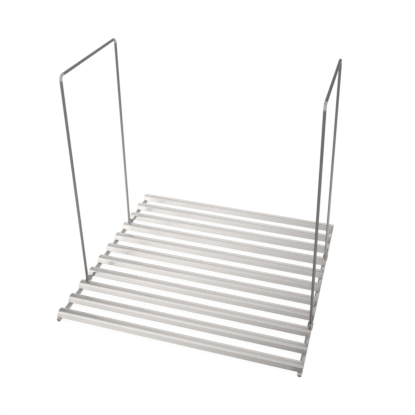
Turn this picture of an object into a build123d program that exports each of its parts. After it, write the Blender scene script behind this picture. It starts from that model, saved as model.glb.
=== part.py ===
from build123d import *
from math import atan2, sin, tan
import os

# Hanging slatted drying rack with two folding wire bails.
# Millimetres. X runs along the slats, Y from front to back, Z up.
# The origin lies in the middle of the rack, on the surface it stands on.

# Slats: folded sheet channels, open below, lying side by side from front to back
SLAT_COUNT = 11
SLAT_PITCH = 40.0
SLAT_LENGTH = 455.0
SLAT_BASE_WIDTH = 23.8
SLAT_TOP_WIDTH = 10.7
SLAT_HEIGHT = 9.0
SHEET_THICKNESS = 1.0
INSIDE_BEND_RADIUS = 6.0

# Side rods: one under each end of the slats
ROD_DIAMETER = 8.0
ROD_OVERHANG = 3.0
ROD_CHAMFER = 0.6

# Bails: one tall wire hoop on each rod, leaning in a little where it stands (degrees).
# Its feet pass through the third gap between the slats, counted from either end.
WIRE_DIAMETER = 5.0
BAIL_RISE = 436.0
BAIL_LEAN = 1.5
BAIL_BEND_RADIUS = 8.0
HINGE_GAP = 3
PASSING_CLEARANCE = 2.0

# Hinge sleeves: short tubes that turn on the rods and carry the feet of the bails
SLEEVE_WALL = 0.95
SLEEVE_CHAMFER = 0.3
RUNNING_CLEARANCE = 0.05
SLEEVE_END_CLEARANCE = 0.5

# Heights and places that follow from the sizes above
sleeve_bore = ROD_DIAMETER + 2 * RUNNING_CLEARANCE
sleeve_diameter = sleeve_bore + 2 * SLEEVE_WALL
rod_axis_z = sleeve_diameter / 2
slat_base_z = rod_axis_z + ROD_DIAMETER / 2
rod_axis_x = (SLAT_LENGTH - ROD_DIAMETER) / 2
row_depth = (SLAT_COUNT - 1) * SLAT_PITCH + SLAT_BASE_WIDTH
rod_length = row_depth + 2 * ROD_OVERHANG
gap_width = SLAT_PITCH - SLAT_BASE_WIDTH
sleeve_length = gap_width - 2 * SLEEVE_END_CLEARANCE
leg_offset = (WIRE_DIAMETER + PASSING_CLEARANCE) / 2
front_hinge_gap = HINGE_GAP
rear_hinge_gap = SLAT_COUNT - HINGE_GAP


def slat_y(number):
    """Middle of a slat, counted from 1 at the front."""
    return (number - (SLAT_COUNT + 1) / 2) * SLAT_PITCH


def gap_y(number):
    """Middle of the gap behind the slat of that number."""
    return slat_y(number) + SLAT_PITCH / 2


def slat_section():
    """Trapezium of bent sheet, open below, with its two top bends rounded inside and out."""
    slope = atan2(SLAT_HEIGHT, (SLAT_BASE_WIDTH - SLAT_TOP_WIDTH) / 2)
    outer_base = SLAT_BASE_WIDTH / 2
    outer_top = SLAT_TOP_WIDTH / 2
    inner_height = SLAT_HEIGHT - SHEET_THICKNESS
    inner_base = outer_base - SHEET_THICKNESS / sin(slope)
    inner_top = inner_base - inner_height / tan(slope)
    outer = trapezium(outer_base, outer_top, SLAT_HEIGHT, INSIDE_BEND_RADIUS + SHEET_THICKNESS)
    return outer - trapezium(inner_base, inner_top, inner_height, INSIDE_BEND_RADIUS)


def trapezium(half_base, half_top, height, bend_radius):
    """Upright trapezium on the base line, with its two top corners rounded."""
    corners = [(-half_base, 0), (half_base, 0), (half_top, height), (-half_top, height)]
    face = make_face(Polyline(*corners, close=True))
    return fillet(face.vertices().group_by(Axis.Y)[-1], bend_radius)


def bail_wire(offset, lean):
    """Hoop of round wire turned about the rod, with two feet coped to sit on the hinge sleeves."""
    front = gap_y(front_hinge_gap) + offset
    rear = gap_y(rear_hinge_gap) + offset
    corners = [(0, front, 0), (0, front, BAIL_RISE), (0, rear, BAIL_RISE), (0, rear, 0)]
    path = FilletPolyline(*corners, radius=BAIL_BEND_RADIUS)
    hoop = sweep(Plane(path @ 0, z_dir=path % 0) * Circle(WIRE_DIAMETER / 2), path)
    cope = extrude(Plane.XZ * Circle(sleeve_diameter / 2), row_depth / 2, both=True)
    return Rot(0, lean, 0) * (hoop - cope)


def side_rod():
    """Plain round bar from front to back, with its ends chamfered."""
    bar = extrude(Plane.XZ * Circle(ROD_DIAMETER / 2), rod_length / 2, both=True)
    return chamfer(bar.edges().filter_by(GeomType.CIRCLE), ROD_CHAMFER)


def hinge_sleeve(y):
    """Short tube that turns on the rod between two slats."""
    ring = Circle(sleeve_diameter / 2) - Circle(sleeve_bore / 2)
    tube = extrude(Plane.XZ * ring, sleeve_length / 2, both=True)
    rims = tube.edges().filter_by(GeomType.CIRCLE).group_by(SortBy.RADIUS)[-1]
    return Pos(0, y, 0) * chamfer(rims, SLEEVE_CHAMFER)


parts = {}

section = Plane.YZ * slat_section()
slat = extrude(section, SLAT_LENGTH / 2, both=True)
for number in range(1, SLAT_COUNT + 1):
    parts[f"slat_{number:02d}"] = Pos(0, slat_y(number), slat_base_z) * slat

# The two bails stand a little apart along the rods, so that they fold down side by side
for side, sign in (("left", -1), ("right", 1)):
    rod_axis = Pos(sign * rod_axis_x, 0, rod_axis_z)
    parts[f"{side}_side_rod"] = rod_axis * side_rod()
    parts[f"{side}_bail_wire"] = rod_axis * bail_wire(sign * leg_offset, -sign * BAIL_LEAN)
    parts[f"{side}_front_hinge_sleeve"] = rod_axis * hinge_sleeve(gap_y(front_hinge_gap))
    parts[f"{side}_rear_hinge_sleeve"] = rod_axis * hinge_sleeve(gap_y(rear_hinge_gap))

os.makedirs("parts", exist_ok=True)
for name, shape in parts.items():
    export_step(shape, f"parts/{name}.step")
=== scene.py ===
from math import atan2, pi, radians, sin, tan

import bpy
import numpy as np
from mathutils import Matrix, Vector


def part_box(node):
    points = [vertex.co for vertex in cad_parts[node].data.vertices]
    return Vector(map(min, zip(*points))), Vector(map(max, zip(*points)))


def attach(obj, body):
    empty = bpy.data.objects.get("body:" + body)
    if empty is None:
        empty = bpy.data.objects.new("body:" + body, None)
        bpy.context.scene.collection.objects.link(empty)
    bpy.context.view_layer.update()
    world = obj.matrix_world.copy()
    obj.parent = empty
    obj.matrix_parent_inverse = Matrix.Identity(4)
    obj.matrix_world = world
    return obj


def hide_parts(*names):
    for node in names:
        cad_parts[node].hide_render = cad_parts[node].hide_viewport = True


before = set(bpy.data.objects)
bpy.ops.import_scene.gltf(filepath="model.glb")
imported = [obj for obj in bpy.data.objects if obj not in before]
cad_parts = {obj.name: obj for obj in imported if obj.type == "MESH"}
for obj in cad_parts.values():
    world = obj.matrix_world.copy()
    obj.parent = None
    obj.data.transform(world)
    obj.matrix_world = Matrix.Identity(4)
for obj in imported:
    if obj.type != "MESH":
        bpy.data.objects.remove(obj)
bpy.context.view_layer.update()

# Metres and degrees. X runs along the slats, Y from front to back, Z up.

# The camera, as measured from the lines of the slats, rods and bails in the 415 by 415 photograph
IMAGE_SIZE = 415
FOCAL_PIXELS = 570.8
PRINCIPAL_POINT = (226.7, 166.8)
CAMERA_PLACE = (0.2852, -0.8590, 0.7830)
CAMERA_YAW = 16.15
CAMERA_PITCH = 30.63
SENSOR_WIDTH = 36.0

# Slats: what a node's box doesn't give about their folded sheet
SLAT_TOP_WIDTH = 0.0107
SHEET_THICKNESS = 0.001
INSIDE_BEND_RADIUS = 0.006
CUT_EDGE_RADIUS = 0.00015
END_EDGE_RADIUS = 0.0001

# Rods, bails and hinge sleeves
ROD_CHAMFER = 0.0006
ROD_EDGE_RADIUS = 0.0002
WIRE_RADIUS = 0.0025
BAIL_RISE = 0.436
BAIL_LEAN = 1.5
BAIL_BEND_RADIUS = 0.008
SLEEVE_BORE_RADIUS = 0.00405
SLEEVE_EDGE_RADIUS = 0.0003
BORE_EDGE_RADIUS = SLEEVE_EDGE_RADIUS / 3
FOOT_FILLET = 0.0009
FOOT_DEPTH = 0.0002

# Weld beads inside the feet of the slats, where these stand on the rods
BEAD_HALF_SIZES = (0.0019, 0.0010, 0.0009)
BEAD_SWELL = 0.12
BEAD_INSET = 0.0019

# Fineness of the surfaces. FOOT_POINTS is half the number of corners of the face that ends a slat's foot.
# HOLD is how far past an arc a point holds the flat straight.
ARC_STEPS = 10
ROUND_STEPS = 40
END_EDGE_STEPS = 3
FOOT_POINTS = 3
BEAD_ROWS = 7
BEAD_COLUMNS = 14
HOLD = 0.0001

# Colours of the steel
SHEET_DARK = (0.568, 0.541, 0.521, 1)
SHEET_LIGHT = (0.660, 0.632, 0.612, 1)
SHEET_CLOUDED = (0.538, 0.512, 0.493, 1)
SHEET_RUBBED = (0.730, 0.705, 0.688, 1)
SHEET_HEATED = (0.430, 0.385, 0.335, 1)
SHEET_CUT = (0.400, 0.390, 0.380, 1)
# Painted light: the painted highlight on a bail's bends and the paler painted reflection low down and
# towards the back
DRAWN_PAINTED_LIGHT = (0.640, 0.625, 0.607, 1)
# Painted highlight round a rod's sawn end
DRAWN_END_HIGHLIGHT = (0.800, 0.785, 0.765, 1)
DRAWN_SAWN = (0.300, 0.290, 0.278, 1)
# Painted shade on the lower half of a rod's sawn end
DRAWN_END_SHADE = (0.090, 0.087, 0.083, 1)
STRAW_SHARES = (0.95, 0.80, 0.62)
WELD_BROWN = (0.330, 0.300, 0.268, 1)
WELD_BLUE = (0.345, 0.345, 0.350, 1)

# Fineness of the steel's patterns, as cells of noise in a metre: along and round a piece, or along X, Y, Z
SHEET_LINES = (9, 2400, 1)
SHEET_BANDS = (2.5, 420, 1)
SHEET_SCRATCHES = (16, 1500, 1)
SHEET_CLOUDS = (14, 38, 38)
DRAWN_LINES = (12, 2600, 1)
TURNED_LINES = (2600, 12, 1)
DRAWN_BLOTCHES = (90, 90, 60)
WELD_RIPPLES = (900, 2500, 900)
WELD_TINTS = (700, 700, 700)
NOISE_ROUGHNESS = 0.55

# How far a slat's grain is moved along it for each slat's length that it lies further back
GRAIN_SHIFT = 1.7 * pi

# Depth of the steel's patterns, and the share of it that shows
SHEET_DEPTH = 0.000016
DRAWN_DEPTH = 0.000012
WELD_DEPTH = 0.00004
BUMP_STRENGTH = 0.5

# How far the steel's marks reach: in full to the first distance or height, and gone at the second
RUBBED_REACH = (0.0008, 0.0024)
CUT_END_REACH = (0.0001, 0.0004)
CUT_FOOT_REACH = (0.0001, 0.0006)
DRESSED_REACH = (0.010, 0.025)
SHEET_HEAT_REACH = (0.001, 0.006)
SHEET_HEAT_RISE = (0.0005, 0.004)
WIRE_HEAT_RISE = (0, 0.012)
SAWN_REACH = (0.00005, 0.00015)
# Painted highlight round a rod's sawn end
END_HIGHLIGHT_REACH = (0.0008, 0.0018)
# Painted shade on the lower half of a rod's sawn end
END_SHADE_RISE = (-0.004, 0.001)

# The same for the painted highlight on a bail's bends, which also stands for steel worn bright there, in
# bend radii from the middle of the bend
BEND_HIGHLIGHT_REACH = (0.4, 1.1)

# The paler painted reflection is there in full to the first share of a bail's rise and gone at the second.
# From front to back it goes from its front share to its rear one between two places.
PAINTED_REFLECTION_RISE = (0.1, 0.9)
PAINTED_REFLECTION_SPAN = (-0.2, 0.2)

# Noise at which the steel passes from dark to light, a scratch begins, and a weld passes from brown to blue
TONE_STEP = (0.25, 0.75)
SCRATCH_STEP = (0.70, 0.78)
TINT_STEP = (0.35, 0.65)

# The floor: its size, the white that it gives off and the grey that can be shaded
FLOOR_SIZE = 40.0
FLOOR_GLOW = 0.93
FLOOR_COLOUR = (0.12, 0.12, 0.12, 1)

# Brightness of the surroundings, where 1 is white
BACK_LEVEL = 0.40
BACK_MIDDLE_GAIN = 0.50
BELOW_CEILING_GAIN = 0.60
BACK_RIGHT_LOSS = 0.38
FAR_LEFT_LOSS = 0.66
FAR_LEFT_LOW_LOSS = 0.20
FRONT_LEVEL = 0.56
LEFT_PANEL_GAIN = 1.17
LEFT_CORNER_LOSS = 0.55
FRONT_LOW_LOSS = 0.55

# Where one brightness passes into the next: how far a direction of length 1 points back, right or up
BACK_STEP = (-0.90, 0.20)
BACK_RIGHT_STEP = (-0.15, -0.03)
FAR_LEFT_STEP = (-0.47, -0.36)
LEFT_PANEL_STEP = (-0.38, 0.06)
LEFT_CORNER_STEP = (-0.80, -0.40)
COVE_STEP = (0.16, 0.30)
BACK_MIDDLE_STEP = (0.30, 0.50)
FRONT_LOW_STEP = (0.34, 0.52)
CEILING_STEP = (0.59, 0.67)

# The lamp's panel: width and depth, power, place and turns about X and Y
LAMP_SIZE = (1.4, 0.9)
LAMP_POWER = 0.5
LAMP_PLACE = (-0.45, 0.1, 1.7)
LAMP_TURNS = (-4, -14)

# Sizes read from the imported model
slat_names = sorted(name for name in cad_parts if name.startswith("slat_"))
slat_low, slat_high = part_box(slat_names[0])
slat_length = slat_high.x - slat_low.x
slat_base_width = slat_high.y - slat_low.y
slat_height = slat_high.z - slat_low.z
slat_base = slat_low.z
rod_low, rod_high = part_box("right_side_rod")
rod_radius = (rod_high.x - rod_low.x) / 2
rod_axis_x = (rod_high.x + rod_low.x) / 2
rod_axis_z = (rod_high.z + rod_low.z) / 2
rod_length = rod_high.y - rod_low.y
sleeve_low, sleeve_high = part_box("right_front_hinge_sleeve")
sleeve_radius = (sleeve_high.x - sleeve_low.x) / 2
sleeve_length = sleeve_high.y - sleeve_low.y


def middle(name):
    """Middle of a CAD node's box."""
    low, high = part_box(name)
    return (low + high) / 2


front_hinge = middle("right_front_hinge_sleeve").y
rear_hinge = middle("right_rear_hinge_sleeve").y
bail_width = rear_hinge - front_hinge
foot_offset = abs(middle("right_bail_wire").y - (front_hinge + rear_hinge) / 2)


# Shapes

def rounded_corners(corners, radii, closed):
    """Points and unit normals of a flat line whose corners are turned into arcs.

    At each corner the arc's middle lies on the halving line at radius / sin(half the corner's angle), and
    its points swing evenly from one side to the other. A point just before and just after the arc holds the
    flats straight. The normals point to the left of the way the line runs. An open line keeps its two ends.
    """
    corners = np.array(corners, float)
    bends = corners if closed else corners[1:-1]
    before = np.roll(corners, 1, 0) if closed else corners[:-2]
    after = np.roll(corners, -1, 0) if closed else corners[2:]
    radii = np.array(radii, float)[:, None]
    back = before - bends
    back /= np.linalg.norm(back, axis=1, keepdims=True)
    ahead = after - bends
    ahead /= np.linalg.norm(ahead, axis=1, keepdims=True)
    half_angle = np.arccos(np.clip((back * ahead).sum(1, keepdims=True), -1, 1)) / 2
    halving = back + ahead
    halving /= np.linalg.norm(halving, axis=1, keepdims=True)
    centres = bends + halving * radii / np.sin(half_angle)
    starts = bends + back * radii / np.tan(half_angle)
    ends = bends + ahead * radii / np.tan(half_angle)
    swing = (pi - 2 * half_angle)[:, None]
    share = np.linspace(0, 1, ARC_STEPS + 1)[None, :, None]
    first = ((starts - centres) / radii)[:, None]
    last = ((ends - centres) / radii)[:, None]
    spokes = (np.sin((1 - share) * swing) * first + np.sin(share * swing) * last) / np.sin(swing)
    arcs = centres[:, None] + radii[:, None] * spokes
    turn = np.sign(back[:, 0] * ahead[:, 1] - back[:, 1] * ahead[:, 0])[:, None, None]
    spokes = spokes * turn
    points = np.concatenate([(starts + HOLD * back)[:, None], arcs, (ends + HOLD * ahead)[:, None]], 1)
    normals = np.concatenate([spokes[:, :1], spokes, spokes[:, -1:]], 1)
    points = points.reshape(-1, 2)
    normals = normals.reshape(-1, 2)
    if not closed:
        points = np.concatenate([corners[:1], points, corners[-1:]])
        normals = np.concatenate([normals[:1], normals, normals[-1:]])
    return points, normals


def running_length(points):
    """Distance along a line from its first point to each of its points."""
    steps = np.linalg.norm(np.diff(points, axis=0), axis=1)
    return np.concatenate([[0], np.cumsum(steps)])


def grid_faces(rows, columns, rows_closed, columns_closed):
    """Corner numbers of the faces between the points of a grid, which joins up where it is closed."""
    row = np.arange(rows if rows_closed else rows - 1)[:, None]
    column = np.arange(columns if columns_closed else columns - 1)[None, :]
    next_row = (row + 1) % rows
    next_column = (column + 1) % columns
    faces = np.stack([
        row * columns + column,
        row * columns + next_column,
        next_row * columns + next_column,
        next_row * columns + column,
    ], -1)
    return faces.reshape(-1, 4)


def fan_faces(ring_start, columns, pole, outward):
    """Corner numbers of the triangles that close a ring of points with one point in its middle."""
    column = np.arange(columns)
    next_column = (column + 1) % columns
    pair = (column, next_column) if outward else (next_column, column)
    return np.stack([ring_start + pair[0], ring_start + pair[1], np.full(columns, pole)], -1)


def make_piece(name, points, faces, surface_map, finish, body, node=None):
    """Mesh object with its place in its points, smooth shading and a map of surface distances in metres."""
    mesh = bpy.data.meshes.new(name)
    mesh.from_pydata(points.tolist(), [], [corner for block in faces for corner in block.tolist()])
    corners = np.empty(len(mesh.loops), int)
    mesh.loops.foreach_get("vertex_index", corners)
    layer = mesh.uv_layers.new(name="surface")
    layer.data.foreach_set("uv", surface_map[corners].astype(np.float32).ravel())
    mesh.polygons.foreach_set("use_smooth", np.ones(len(mesh.polygons), bool))
    mesh.materials.append(finish)
    mesh.validate()
    piece = bpy.data.objects.new(name, mesh)
    bpy.context.scene.collection.objects.link(piece)
    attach(piece, body)
    if node:
        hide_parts(node)


def slat_profile():
    """Line round the folded sheet: over its outside from front to back, then home along its inside."""
    slope = atan2(slat_height, (slat_base_width - SLAT_TOP_WIDTH) / 2)
    outer_base = slat_base_width / 2
    outer_top = SLAT_TOP_WIDTH / 2
    inner_height = slat_height - SHEET_THICKNESS
    inner_base = outer_base - SHEET_THICKNESS / sin(slope)
    inner_top = inner_base - inner_height / tan(slope)
    corners = [
        (-outer_base, 0), (-outer_top, slat_height), (outer_top, slat_height), (outer_base, 0),
        (inner_base, 0), (inner_top, inner_height), (-inner_top, inner_height), (-inner_base, 0),
    ]
    outside_bend_radius = INSIDE_BEND_RADIUS + SHEET_THICKNESS
    radii = [
        CUT_EDGE_RADIUS, outside_bend_radius, outside_bend_radius, CUT_EDGE_RADIUS,
        CUT_EDGE_RADIUS, INSIDE_BEND_RADIUS, INSIDE_BEND_RADIUS, CUT_EDGE_RADIUS,
    ]
    return rounded_corners(corners, radii, closed=True)


def make_slat(name, finish):
    """The slat profile carried along X.

    At the two ends it shrinks inwards on a quarter circle, which eases the cut edge. Strips from the outside
    of the sheet to its inside close it there, with one face at each foot. The surface map is shifted from
    slat to slat, so that no two slats have the same grain.
    """
    centre = middle(name)
    profile, normals = slat_profile()
    count = len(profile)
    ease = np.linspace(0, pi / 2, END_EDGE_STEPS + 1)
    inset = END_EDGE_RADIUS * (1 - np.sin(ease))
    reach = slat_length / 2 - END_EDGE_RADIUS * (1 - np.cos(ease))
    hold = slat_length / 2 - END_EDGE_RADIUS - HOLD
    along = np.concatenate([-reach, [-hold, hold], reach[::-1]])
    shrink = np.concatenate([inset, [0, 0], inset[::-1]])
    section = profile[None] - shrink[:, None, None] * normals[None]
    points = np.empty((len(along), count, 3))
    points[..., 0] = along[:, None]
    points[..., 1] = centre.y + section[..., 0]
    points[..., 2] = slat_base + section[..., 1]
    half = count // 2
    column = np.arange(FOOT_POINTS - 1, half - FOOT_POINTS)
    strip = np.stack([column, column + 1, count - 2 - column, count - 1 - column], -1)
    foot = np.arange(-FOOT_POINTS, FOOT_POINTS)
    feet = np.array([foot, half + foot]) % count
    last_row = (len(along) - 1) * count
    faces = [
        grid_faces(len(along), count, rows_closed=False, columns_closed=True)[:, ::-1],
        strip,
        feet,
        last_row + strip[:, ::-1],
        last_row + feet[:, ::-1],
    ]
    surface_map = np.empty((len(along), count, 2))
    surface_map[..., 0] = (along + GRAIN_SHIFT * centre.y / slat_length)[:, None]
    surface_map[..., 1] = running_length(profile)[None]
    points = points.reshape(-1, 3)
    surface_map = surface_map.reshape(-1, 2)
    make_piece(name + "_sheet", points, faces, surface_map, finish, "rack", name)


def turned_surface(profile, place):
    """A line of (radius, distance along Y) swung once round the Y axis through a place."""
    angle = np.linspace(0, 2 * pi, ROUND_STEPS, endpoint=False)
    points = np.empty((len(profile), ROUND_STEPS, 3))
    points[..., 0] = place.x + profile[:, :1] * np.cos(angle)
    points[..., 1] = place.y + profile[:, 1:]
    points[..., 2] = place.z + profile[:, :1] * np.sin(angle)
    surface_map = np.empty((len(profile), ROUND_STEPS, 2))
    surface_map[..., 0] = running_length(profile)[:, None]
    surface_map[..., 1] = profile[:, :1].max() * angle
    return points.reshape(-1, 3), surface_map.reshape(-1, 2)


def make_rod(name, finish):
    """Half the rod's outline, from the middle of one chamfered end to that of the other, swung round Y."""
    half = rod_length / 2
    corners = [
        (0, -half), (rod_radius - ROD_CHAMFER, -half), (rod_radius, ROD_CHAMFER - half),
        (rod_radius, half - ROD_CHAMFER), (rod_radius - ROD_CHAMFER, half), (0, half),
    ]
    profile, _ = rounded_corners(corners, [ROD_EDGE_RADIUS] * 4, closed=False)
    place = middle(name)
    points, surface_map = turned_surface(profile[1:-1], place)
    rows = len(profile) - 2
    poles = np.array([(place.x, place.y - half, place.z), (place.x, place.y + half, place.z)])
    faces = [
        grid_faces(rows, ROUND_STEPS, rows_closed=False, columns_closed=True)[:, ::-1],
        fan_faces(0, ROUND_STEPS, len(points), outward=True),
        fan_faces((rows - 1) * ROUND_STEPS, ROUND_STEPS, len(points) + 1, outward=False),
    ]
    points = np.concatenate([points, poles])
    surface_map = np.concatenate([surface_map, [(0, 0), (rod_length, 0)]])
    make_piece(name + "_bar", points, faces, surface_map, finish, "rack", name)


def make_sleeve(name, finish, body):
    """The wall's section, a rectangle with eased corners from bore to outside, swung round Y."""
    half = sleeve_length / 2
    corners = [
        (SLEEVE_BORE_RADIUS, -half), (sleeve_radius, -half),
        (sleeve_radius, half), (SLEEVE_BORE_RADIUS, half),
    ]
    radii = [BORE_EDGE_RADIUS, SLEEVE_EDGE_RADIUS, SLEEVE_EDGE_RADIUS, BORE_EDGE_RADIUS]
    profile, _ = rounded_corners(corners, radii, closed=True)
    points, surface_map = turned_surface(profile, middle(name))
    faces = [grid_faces(len(profile), ROUND_STEPS, rows_closed=True, columns_closed=True)[:, ::-1]]
    make_piece(name + "_tube", points, faces, surface_map, finish, body, name)


def bail_foot():
    """Rings of the weld round a foot, from the sleeve up to the wire: radius, and height above the sleeve.

    A concave quarter circle leads from the sleeve's surface, at the wire's radius plus the fillet, to the
    wire. The first ring lies a little under the sleeve's surface.
    """
    swing = np.linspace(0, pi / 2, ARC_STEPS)
    radius = WIRE_RADIUS + FOOT_FILLET * (1 - np.sin(swing))
    height = FOOT_FILLET * (1 - np.cos(swing))
    radius = np.concatenate([radius[:1], radius, [WIRE_RADIUS]])
    height = np.concatenate([[-FOOT_DEPTH], height, [FOOT_FILLET + HOLD]])
    return radius[:, None], height[:, None]


def make_bail(name, finish, body, sign):
    """A round section carried along a hoop of straight runs and two bends, from foot to foot.

    A ring's points lie at radius * (cos a, sin a) between the rod's cross direction and the hoop's normal.
    At the feet the rings rise with the round of the sleeve, by sqrt(sleeve radius^2 - offset^2). The whole
    hoop then leans in round the rod's axis.
    """
    front = middle(f"{name}_front_hinge_sleeve").y + sign * foot_offset
    rear = middle(f"{name}_rear_hinge_sleeve").y + sign * foot_offset
    start = sleeve_radius + 2 * FOOT_FILLET
    corners = [(front, start), (front, BAIL_RISE), (rear, BAIL_RISE), (rear, start)]
    line, normals = rounded_corners(corners, [BAIL_BEND_RADIUS] * 2, closed=False)
    angle = np.linspace(0, 2 * pi, ROUND_STEPS, endpoint=False)
    across = np.cos(angle)[None, :]
    inward = np.sin(angle)[None, :]
    hoop = np.empty((len(line), ROUND_STEPS, 3))
    hoop[..., 0] = WIRE_RADIUS * across
    hoop[..., 1] = line[:, :1] + WIRE_RADIUS * inward * normals[:, :1]
    hoop[..., 2] = line[:, 1:] + WIRE_RADIUS * inward * normals[:, 1:]
    radius, height = bail_foot()
    foot = np.empty((len(radius), ROUND_STEPS, 3))
    foot[..., 0] = radius * across
    foot[..., 1] = front + radius * inward * normals[0, 0]
    foot[..., 2] = np.sqrt(sleeve_radius ** 2 - (radius * across) ** 2) + height
    far_foot = foot[::-1].copy()
    far_foot[..., 1] = rear + radius[::-1] * inward * normals[-1, 0]
    rings = np.concatenate([foot, hoop, far_foot])
    rows = len(rings)
    points = rings.reshape(-1, 3)
    under = sleeve_radius - 2 * FOOT_DEPTH
    points = np.concatenate([points, [(0, front, under), (0, rear, under)]])
    lean = radians(-sign * BAIL_LEAN)
    turned = points.copy()
    turned[:, 0] = sign * rod_axis_x + points[:, 0] * np.cos(lean) + points[:, 2] * np.sin(lean)
    turned[:, 2] = rod_axis_z - points[:, 0] * np.sin(lean) + points[:, 2] * np.cos(lean)
    along = running_length(rings.mean(1))
    along -= along[-1] / 2
    surface_map = np.empty((rows, ROUND_STEPS, 2))
    surface_map[..., 0] = along[:, None]
    surface_map[..., 1] = (WIRE_RADIUS * angle)[None, :]
    surface_map = np.concatenate([surface_map.reshape(-1, 2), [(along[0], 0), (along[-1], 0)]])
    faces = [
        grid_faces(rows, ROUND_STEPS, rows_closed=False, columns_closed=True)[:, ::-1],
        fan_faces(0, ROUND_STEPS, len(turned) - 2, outward=True),
        fan_faces((rows - 1) * ROUND_STEPS, ROUND_STEPS, len(turned) - 1, outward=False),
    ]
    node = f"{name}_bail_wire"
    make_piece(node + "_hoop", turned, faces, surface_map, finish, body, node)


def make_beads(name, finish, sign):
    """Weld beads on one rod, one inside each foot of each slat.

    A bead is a ball drawn out to its three half sizes, which swells a little with the cosine of twice its
    turn.
    """
    rise = np.linspace(-pi / 2, pi / 2, BEAD_ROWS + 2)[1:-1, None]
    turn = np.linspace(0, 2 * pi, BEAD_COLUMNS, endpoint=False)[None, :]
    swell = 1 + BEAD_SWELL * np.cos(2 * turn)
    ball = np.empty((BEAD_ROWS, BEAD_COLUMNS, 3))
    ball[..., 0] = np.cos(rise) * np.cos(turn) * swell
    ball[..., 1] = np.cos(rise) * np.sin(turn) * swell
    ball[..., 2] = np.sin(rise)
    ball = np.concatenate([ball.reshape(-1, 3), [(0, 0, -1), (0, 0, 1)]]) * BEAD_HALF_SIZES
    one_bead = [
        grid_faces(BEAD_ROWS, BEAD_COLUMNS, rows_closed=False, columns_closed=True),
        fan_faces(0, BEAD_COLUMNS, len(ball) - 2, outward=False),
        fan_faces((BEAD_ROWS - 1) * BEAD_COLUMNS, BEAD_COLUMNS, len(ball) - 1, outward=True),
    ]
    slat_middles = np.array([middle(slat).y for slat in slat_names])
    foot = slat_base_width / 2 - BEAD_INSET
    places = np.concatenate([slat_middles - foot, slat_middles + foot])
    points = np.repeat(ball[None], len(places), 0)
    points[..., 0] += sign * rod_axis_x
    points[..., 1] += places[:, None]
    points[..., 2] += slat_base
    shifts = len(ball) * np.arange(len(places))[:, None, None]
    faces = [(block[None] + shifts).reshape(-1, block.shape[1]) for block in one_bead]
    points = points.reshape(-1, 3)
    make_piece(name, points, faces, points[:, :2], finish, "rack")


# Finishes

class Amount:
    """A shader socket that stands for a number. Arithmetic on it adds Math nodes."""

    def __init__(self, finish, socket):
        self.finish = finish
        self.socket = socket

    def joined(self, operation, first, second):
        made = self.finish.node("ShaderNodeMath", {"operation": operation}, {0: first, 1: second})
        return Amount(self.finish, made.outputs[0])

    def __add__(self, other):
        return self.joined("ADD", self, other)

    def __radd__(self, other):
        return self.joined("ADD", other, self)

    def __sub__(self, other):
        return self.joined("SUBTRACT", self, other)

    def __rsub__(self, other):
        return self.joined("SUBTRACT", other, self)

    def __mul__(self, other):
        return self.joined("MULTIPLY", self, other)

    def __rmul__(self, other):
        return self.joined("MULTIPLY", other, self)

    def __abs__(self):
        return self.joined("ABSOLUTE", self, 0)

    def rising(self, low, high):
        """0 below low, 1 above high, and a smooth rise between them."""
        made = self.finish.node(
            "ShaderNodeMapRange",
            {"interpolation_type": "SMOOTHSTEP"},
            {"Value": self, "From Min": low, "From Max": high},
        )
        return Amount(self.finish, made.outputs[0])

    def falling(self, low, high):
        """1 below low, 0 above high, and a smooth fall between them."""
        return 1 - self.rising(low, high)


class Finish:
    """The node tree of a material or of the surroundings, emptied and ready for new nodes."""

    def __init__(self, owner):
        owner.use_nodes = True
        self.tree = owner.node_tree
        self.tree.nodes.clear()

    def node(self, kind, settings=None, values=None):
        made = self.tree.nodes.new(kind)
        for key, value in (settings or {}).items():
            setattr(made, key, value)
        for key, value in (values or {}).items():
            if isinstance(value, Amount):
                value = value.socket
            if isinstance(value, bpy.types.NodeSocket):
                self.tree.links.new(value, made.inputs[key])
            else:
                made.inputs[key].default_value = value
        return made

    def mixed(self, share, first, second):
        """Colour that goes from the first to the second as the share goes from 0 to 1."""
        made = self.node("ShaderNodeMix", {"data_type": "RGBA"}, {0: share, 6: first, 7: second})
        return made.outputs[2]

    def stretched_noise(self, source, scale, detail):
        """Noise from 0 to 1, with the source's directions stretched apart by the three scales."""
        placed = self.node("ShaderNodeMapping", None, {"Vector": source, "Scale": scale})
        made = self.node("ShaderNodeTexNoise", None, {
            "Vector": placed.outputs[0],
            "Scale": 1.0,
            "Detail": detail,
            "Roughness": NOISE_ROUGHNESS,
        })
        return Amount(self, made.outputs[0])

    def parts(self, vector):
        made = self.node("ShaderNodeSeparateXYZ", None, {0: vector})
        return [Amount(self, output) for output in made.outputs]

    def metal(self, colour, roughness, height, depth, slant_level):
        """A bare metal surface with varying colour, roughness and height, and its own gloss at a slant."""
        bump = self.node("ShaderNodeBump", None, {
            "Strength": BUMP_STRENGTH,
            "Distance": depth,
            "Height": height,
        })
        shader = self.node("ShaderNodeBsdfPrincipled", None, {
            "Base Color": colour,
            "Metallic": 1.0,
            "Roughness": roughness,
            "Specular Tint": (slant_level, slant_level, slant_level, 1),
            "Normal": bump.outputs[0],
        })
        self.node("ShaderNodeOutputMaterial", None, {"Surface": shader.outputs[0]})


def surface_source(finish):
    return finish.node("ShaderNodeUVMap", {"uv_map": "surface"}).outputs[0]


def object_source(finish):
    return finish.node("ShaderNodeTexCoord").outputs["Object"]


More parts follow.
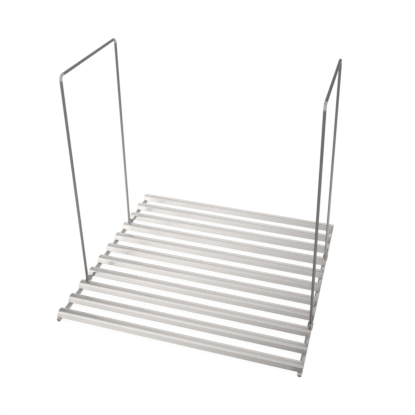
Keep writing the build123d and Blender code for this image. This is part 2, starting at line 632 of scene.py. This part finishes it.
def slat_steel():
    """Rolled bright sheet: fine lines along the slat, cloudy smears and a few scratches.

    The bends are worn bright, the cut edges are dull, the ends are dressed smoother, and the feet are
    tinted by heat where they stand on the rods.
    """
    material = bpy.data.materials.new("slat_steel")
    finish = Finish(material)
    surface = surface_source(finish)
    place = object_source(finish)
    profile, _ = slat_profile()
    lengths = running_length(profile)
    per_corner = ARC_STEPS + 3
    front_bend, rear_bend = lengths[[per_corner * n + per_corner // 2 for n in (1, 2)]]
    lines = finish.stretched_noise(surface, SHEET_LINES, detail=5)
    bands = finish.stretched_noise(surface, SHEET_BANDS, detail=3)
    clouds = finish.stretched_noise(place, SHEET_CLOUDS, detail=3)
    scratches = finish.stretched_noise(surface, SHEET_SCRATCHES, detail=1).rising(*SCRATCH_STEP)
    x, _, z = finish.parts(place)
    around = finish.parts(surface)[1]
    from_end = slat_length / 2 - abs(x)
    above_foot = z - slat_base
    front_wear = abs(around - float(front_bend)).falling(*RUBBED_REACH)
    rear_wear = abs(around - float(rear_bend)).falling(*RUBBED_REACH)
    wear = (front_wear + 0.5 * rear_wear) * (0.45 + 0.55 * bands)
    cut_end = from_end.falling(*CUT_END_REACH)
    cut_foot = above_foot.falling(*CUT_FOOT_REACH)
    cut = cut_end + cut_foot - cut_end * cut_foot
    near_rod = abs(abs(x) - rod_axis_x).falling(*SHEET_HEAT_REACH)
    heat = near_rod * above_foot.falling(*SHEET_HEAT_RISE) * (0.15 + 0.4 * clouds)
    dressed = from_end.falling(*DRESSED_REACH)
    tone = 0.55 * lines + 0.45 * bands
    colour = finish.mixed(tone.rising(*TONE_STEP), SHEET_DARK, SHEET_LIGHT)
    colour = finish.mixed(0.35 * clouds, colour, SHEET_CLOUDED)
    colour = finish.mixed(0.5 * wear, colour, SHEET_RUBBED)
    colour = finish.mixed(heat, colour, SHEET_HEATED)
    colour = finish.mixed(0.5 * cut, colour, SHEET_CUT)
    roughness = 0.17 + 0.08 * tone + 0.07 * clouds - 0.03 * wear
    roughness = roughness + 0.2 * cut + 0.06 * scratches - 0.08 * dressed
    height = lines + 0.6 * bands - 0.5 * scratches
    finish.metal(colour, roughness, height, SHEET_DEPTH, slant_level=0.9)
    return material


def drawn_steel(name, tones, roughness_floor, slant_level, lengthways=True, heat_share=0.0, bend_highlight_share=0.0,
                front_painted_reflection=0.0, rear_painted_reflection=0.0):
    """Drawn bar or wire: die lines along it, or round it where it is turned, and blotches of dull oxide.

    Welded feet have a straw tint. The bends of a bail carry a painted highlight, which also stands for steel
    worn bright there. The steel is painted paler downwards and towards the back by the two shares, a painted
    reflection.
    The rods' sawn ends have a painted highlight round their edge and painted shade on their lower half.
    """
    material = bpy.data.materials.new(name)
    finish = Finish(material)
    surface = surface_source(finish)
    place = object_source(finish)
    lines = finish.stretched_noise(surface, DRAWN_LINES if lengthways else TURNED_LINES, detail=4)
    blotches = finish.stretched_noise(place, DRAWN_BLOTCHES, detail=4)
    y, z = finish.parts(place)[1:]
    along = finish.parts(surface)[0]
    from_end = rod_length / 2 - abs(y)
    above_axis = z - rod_axis_z
    heat = (above_axis - sleeve_radius).falling(*WIRE_HEAT_RISE) * blotches
    sawn = from_end.falling(*SAWN_REACH)
    # Painted highlight round a rod's sawn end
    end_highlight = from_end.falling(*END_HIGHLIGHT_REACH)
    # Painted shade, darker on the lower half of a rod's sawn end
    end_shade = above_axis.falling(*END_SHADE_RISE)
    # Painted highlight at a bail's bends, which also stands for steel worn bright there
    bend_place = bail_width / 2 - (1 - pi / 4) * BAIL_BEND_RADIUS
    bend_highlight = (abs(abs(along) - bend_place) * (1 / BAIL_BEND_RADIUS)).falling(*BEND_HIGHLIGHT_REACH)
    # Painted reflection: paler low down, by a share that grows towards the back
    low = (z * (1 / BAIL_RISE)).falling(*PAINTED_REFLECTION_RISE)
    painted_reflection = low * (front_painted_reflection + (rear_painted_reflection - front_painted_reflection) * y.rising(*PAINTED_REFLECTION_SPAN))
    tone = 0.6 * lines + 0.4 * blotches
    dark, light = tones
    straw = (*(part * share for part, share in zip(dark, STRAW_SHARES)), 1)
    colour = finish.mixed(tone.rising(*TONE_STEP), dark, light)
    colour = finish.mixed(heat_share * heat, colour, straw)
    colour = finish.mixed(bend_highlight_share * bend_highlight, colour, DRAWN_PAINTED_LIGHT)
    colour = finish.mixed(painted_reflection, colour, DRAWN_PAINTED_LIGHT)
    colour = finish.mixed(end_highlight, colour, DRAWN_END_HIGHLIGHT)
    colour = finish.mixed(sawn, colour, finish.mixed(end_shade, DRAWN_SAWN, DRAWN_END_SHADE))
    roughness = roughness_floor + 0.10 * tone + 0.10 * blotches + 0.2 * sawn - 0.1 * bend_highlight_share * bend_highlight
    finish.metal(colour, roughness, lines + 0.5 * blotches, DRAWN_DEPTH, slant_level)
    return material


def weld_metal():
    """Puddled weld: rippled, grey, with brown and blue heat colours."""
    material = bpy.data.materials.new("weld_metal")
    finish = Finish(material)
    place = object_source(finish)
    ripples = finish.stretched_noise(place, WELD_RIPPLES, detail=3)
    tint = finish.stretched_noise(place, WELD_TINTS, detail=2)
    colour = finish.mixed(tint.rising(*TINT_STEP), WELD_BROWN, WELD_BLUE)
    finish.metal(colour, 0.26 + 0.25 * ripples, ripples, WELD_DEPTH, slant_level=0.8)
    return material


slat_finish = slat_steel()
rod_finish = drawn_steel(
    "rod_steel",
    tones=[(0.420, 0.408, 0.394, 1), (0.570, 0.556, 0.538, 1)],
    roughness_floor=0.12,
    slant_level=0.2,
    # Painted reflection: the rods are painted paler towards the back
    rear_painted_reflection=0.70,
)
# The two bails are lit and shaded copies of one wire: the right one is painted darker as painted shade, and
# their painted reflections differ
lit_left_wire_finish = drawn_steel(
    "lit_left_wire_steel",
    tones=[(0.170, 0.165, 0.156, 1), (0.239, 0.232, 0.222, 1)],
    roughness_floor=0.20,
    slant_level=0.6,
    heat_share=0.4,
    bend_highlight_share=0.8,
    front_painted_reflection=0.14,
    rear_painted_reflection=0.77,
)
shaded_right_wire_finish = drawn_steel(
    "shaded_right_wire_steel",
    tones=[(0.138, 0.134, 0.126, 1), (0.194, 0.189, 0.180, 1)],
    roughness_floor=0.20,
    slant_level=0.6,
    heat_share=0.4,
    bend_highlight_share=0.8,
    front_painted_reflection=0.02,
    rear_painted_reflection=0.58,
)
sleeve_finish = drawn_steel(
    "sleeve_steel",
    tones=[(0.370, 0.360, 0.347, 1), (0.470, 0.459, 0.444, 1)],
    roughness_floor=0.18,
    slant_level=0.2,
    lengthways=False,
    heat_share=0.15,
)
bead_finish = weld_metal()

# The pieces
for slat_name in slat_names:
    make_slat(slat_name, slat_finish)
for side, sign, wire_finish in (("left", -1, lit_left_wire_finish), ("right", 1, shaded_right_wire_finish)):
    make_rod(f"{side}_side_rod", rod_finish)
    make_bail(side, wire_finish, f"{side}_bail", sign)
    make_sleeve(f"{side}_front_hinge_sleeve", sleeve_finish, f"{side}_bail")
    make_sleeve(f"{side}_rear_hinge_sleeve", sleeve_finish, f"{side}_bail")
    make_beads(f"{side}_weld_beads", bead_finish, sign)


# Floor, surroundings, lamp and camera

def make_floor():
    """A wide flat sheet. Seen directly or in metal it is white, and a part of that white can be shaded."""
    half = FLOOR_SIZE / 2
    mesh = bpy.data.meshes.new("floor")
    corners = [(-half, -half, 0), (half, -half, 0), (half, half, 0), (-half, half, 0)]
    mesh.from_pydata(corners, [], [(0, 1, 2, 3)])
    material = bpy.data.materials.new("floor_white")
    finish = Finish(material)
    path = finish.node("ShaderNodeLightPath")
    seen = Amount(finish, path.outputs["Is Camera Ray"])
    seen = seen + Amount(finish, path.outputs["Is Glossy Ray"])
    seen = seen + Amount(finish, path.outputs["Is Transmission Ray"])
    glow = finish.node("ShaderNodeEmission", None, {"Color": (1, 1, 1, 1), "Strength": FLOOR_GLOW * seen})
    matt = finish.node("ShaderNodeBsdfDiffuse", None, {"Color": FLOOR_COLOUR})
    both = finish.node("ShaderNodeAddShader", None, {0: glow.outputs[0], 1: matt.outputs[0]})
    finish.node("ShaderNodeOutputMaterial", None, {"Surface": both.outputs[0]})
    mesh.materials.append(material)
    floor = bpy.data.objects.new("floor", mesh)
    bpy.context.scene.collection.objects.link(floor)


def make_surroundings():
    """A pale studio, white all round near the floor.

    The wall behind is brightest at middle height, less bright above, dimmer to the right and dimmest at its
    far left. The wall in front has a wide bright panel at the left, which is weaker in the corner, and is
    dim to the right and low down. The two blend into each other at the sides and overhead.
    """
    world = bpy.data.worlds.new("studio")
    bpy.context.scene.world = world
    finish = Finish(world)
    direction = finish.node("ShaderNodeTexCoord").outputs["Generated"]
    right, back, up = finish.parts(direction)
    behind = back.rising(*BACK_STEP)
    below_ceiling = up.falling(*CEILING_STEP)
    back_wall = BACK_LEVEL + BACK_MIDDLE_GAIN * up.rising(*BACK_MIDDLE_STEP)
    back_wall = back_wall + BELOW_CEILING_GAIN * below_ceiling
    far_left_loss = FAR_LEFT_LOSS + FAR_LEFT_LOW_LOSS * below_ceiling
    back_wall = back_wall - BACK_RIGHT_LOSS * right.rising(*BACK_RIGHT_STEP)
    back_wall = back_wall - far_left_loss * right.falling(*FAR_LEFT_STEP)
    front_wall = FRONT_LEVEL + LEFT_PANEL_GAIN * right.falling(*LEFT_PANEL_STEP)
    front_wall = front_wall - LEFT_CORNER_LOSS * right.falling(*LEFT_CORNER_STEP)
    front_wall = front_wall - FRONT_LOW_LOSS * up.falling(*FRONT_LOW_STEP)
    cove = up.falling(*COVE_STEP)
    level = cove + (1 - cove) * (behind * back_wall + (1 - behind) * front_wall)
    shader = finish.node("ShaderNodeBackground", None, {"Color": (1, 1, 1, 1), "Strength": level})
    finish.node("ShaderNodeOutputWorld", None, {"Surface": shader.outputs[0]})


def make_lamp():
    """One large soft panel overhead and to the left, turned towards the rack."""
    lamp = bpy.data.lights.new("overhead_panel", "AREA")
    lamp.shape = "RECTANGLE"
    lamp.size, lamp.size_y = LAMP_SIZE
    lamp.energy = LAMP_POWER
    holder = bpy.data.objects.new("overhead_panel", lamp)
    holder.location = LAMP_PLACE
    holder.rotation_euler = (radians(LAMP_TURNS[0]), radians(LAMP_TURNS[1]), 0)
    bpy.context.scene.collection.objects.link(holder)


def make_camera():
    """A camera without roll at the photograph's viewing angle, its frame shifted as the photograph's is."""
    camera = bpy.data.cameras.new("camera")
    camera.sensor_width = SENSOR_WIDTH
    camera.lens = FOCAL_PIXELS / IMAGE_SIZE * SENSOR_WIDTH
    camera.shift_x = 0.5 - PRINCIPAL_POINT[0] / IMAGE_SIZE
    camera.shift_y = PRINCIPAL_POINT[1] / IMAGE_SIZE - 0.5
    camera.clip_start = 0.01
    holder = bpy.data.objects.new("camera", camera)
    holder.location = CAMERA_PLACE
    holder.rotation_euler = (radians(90 - CAMERA_PITCH), 0, radians(CAMERA_YAW))
    bpy.context.scene.collection.objects.link(holder)
    bpy.context.scene.camera = holder


make_floor()
make_surroundings()
make_lamp()
make_camera()
bpy.context.scene.view_settings.view_transform = "Standard"
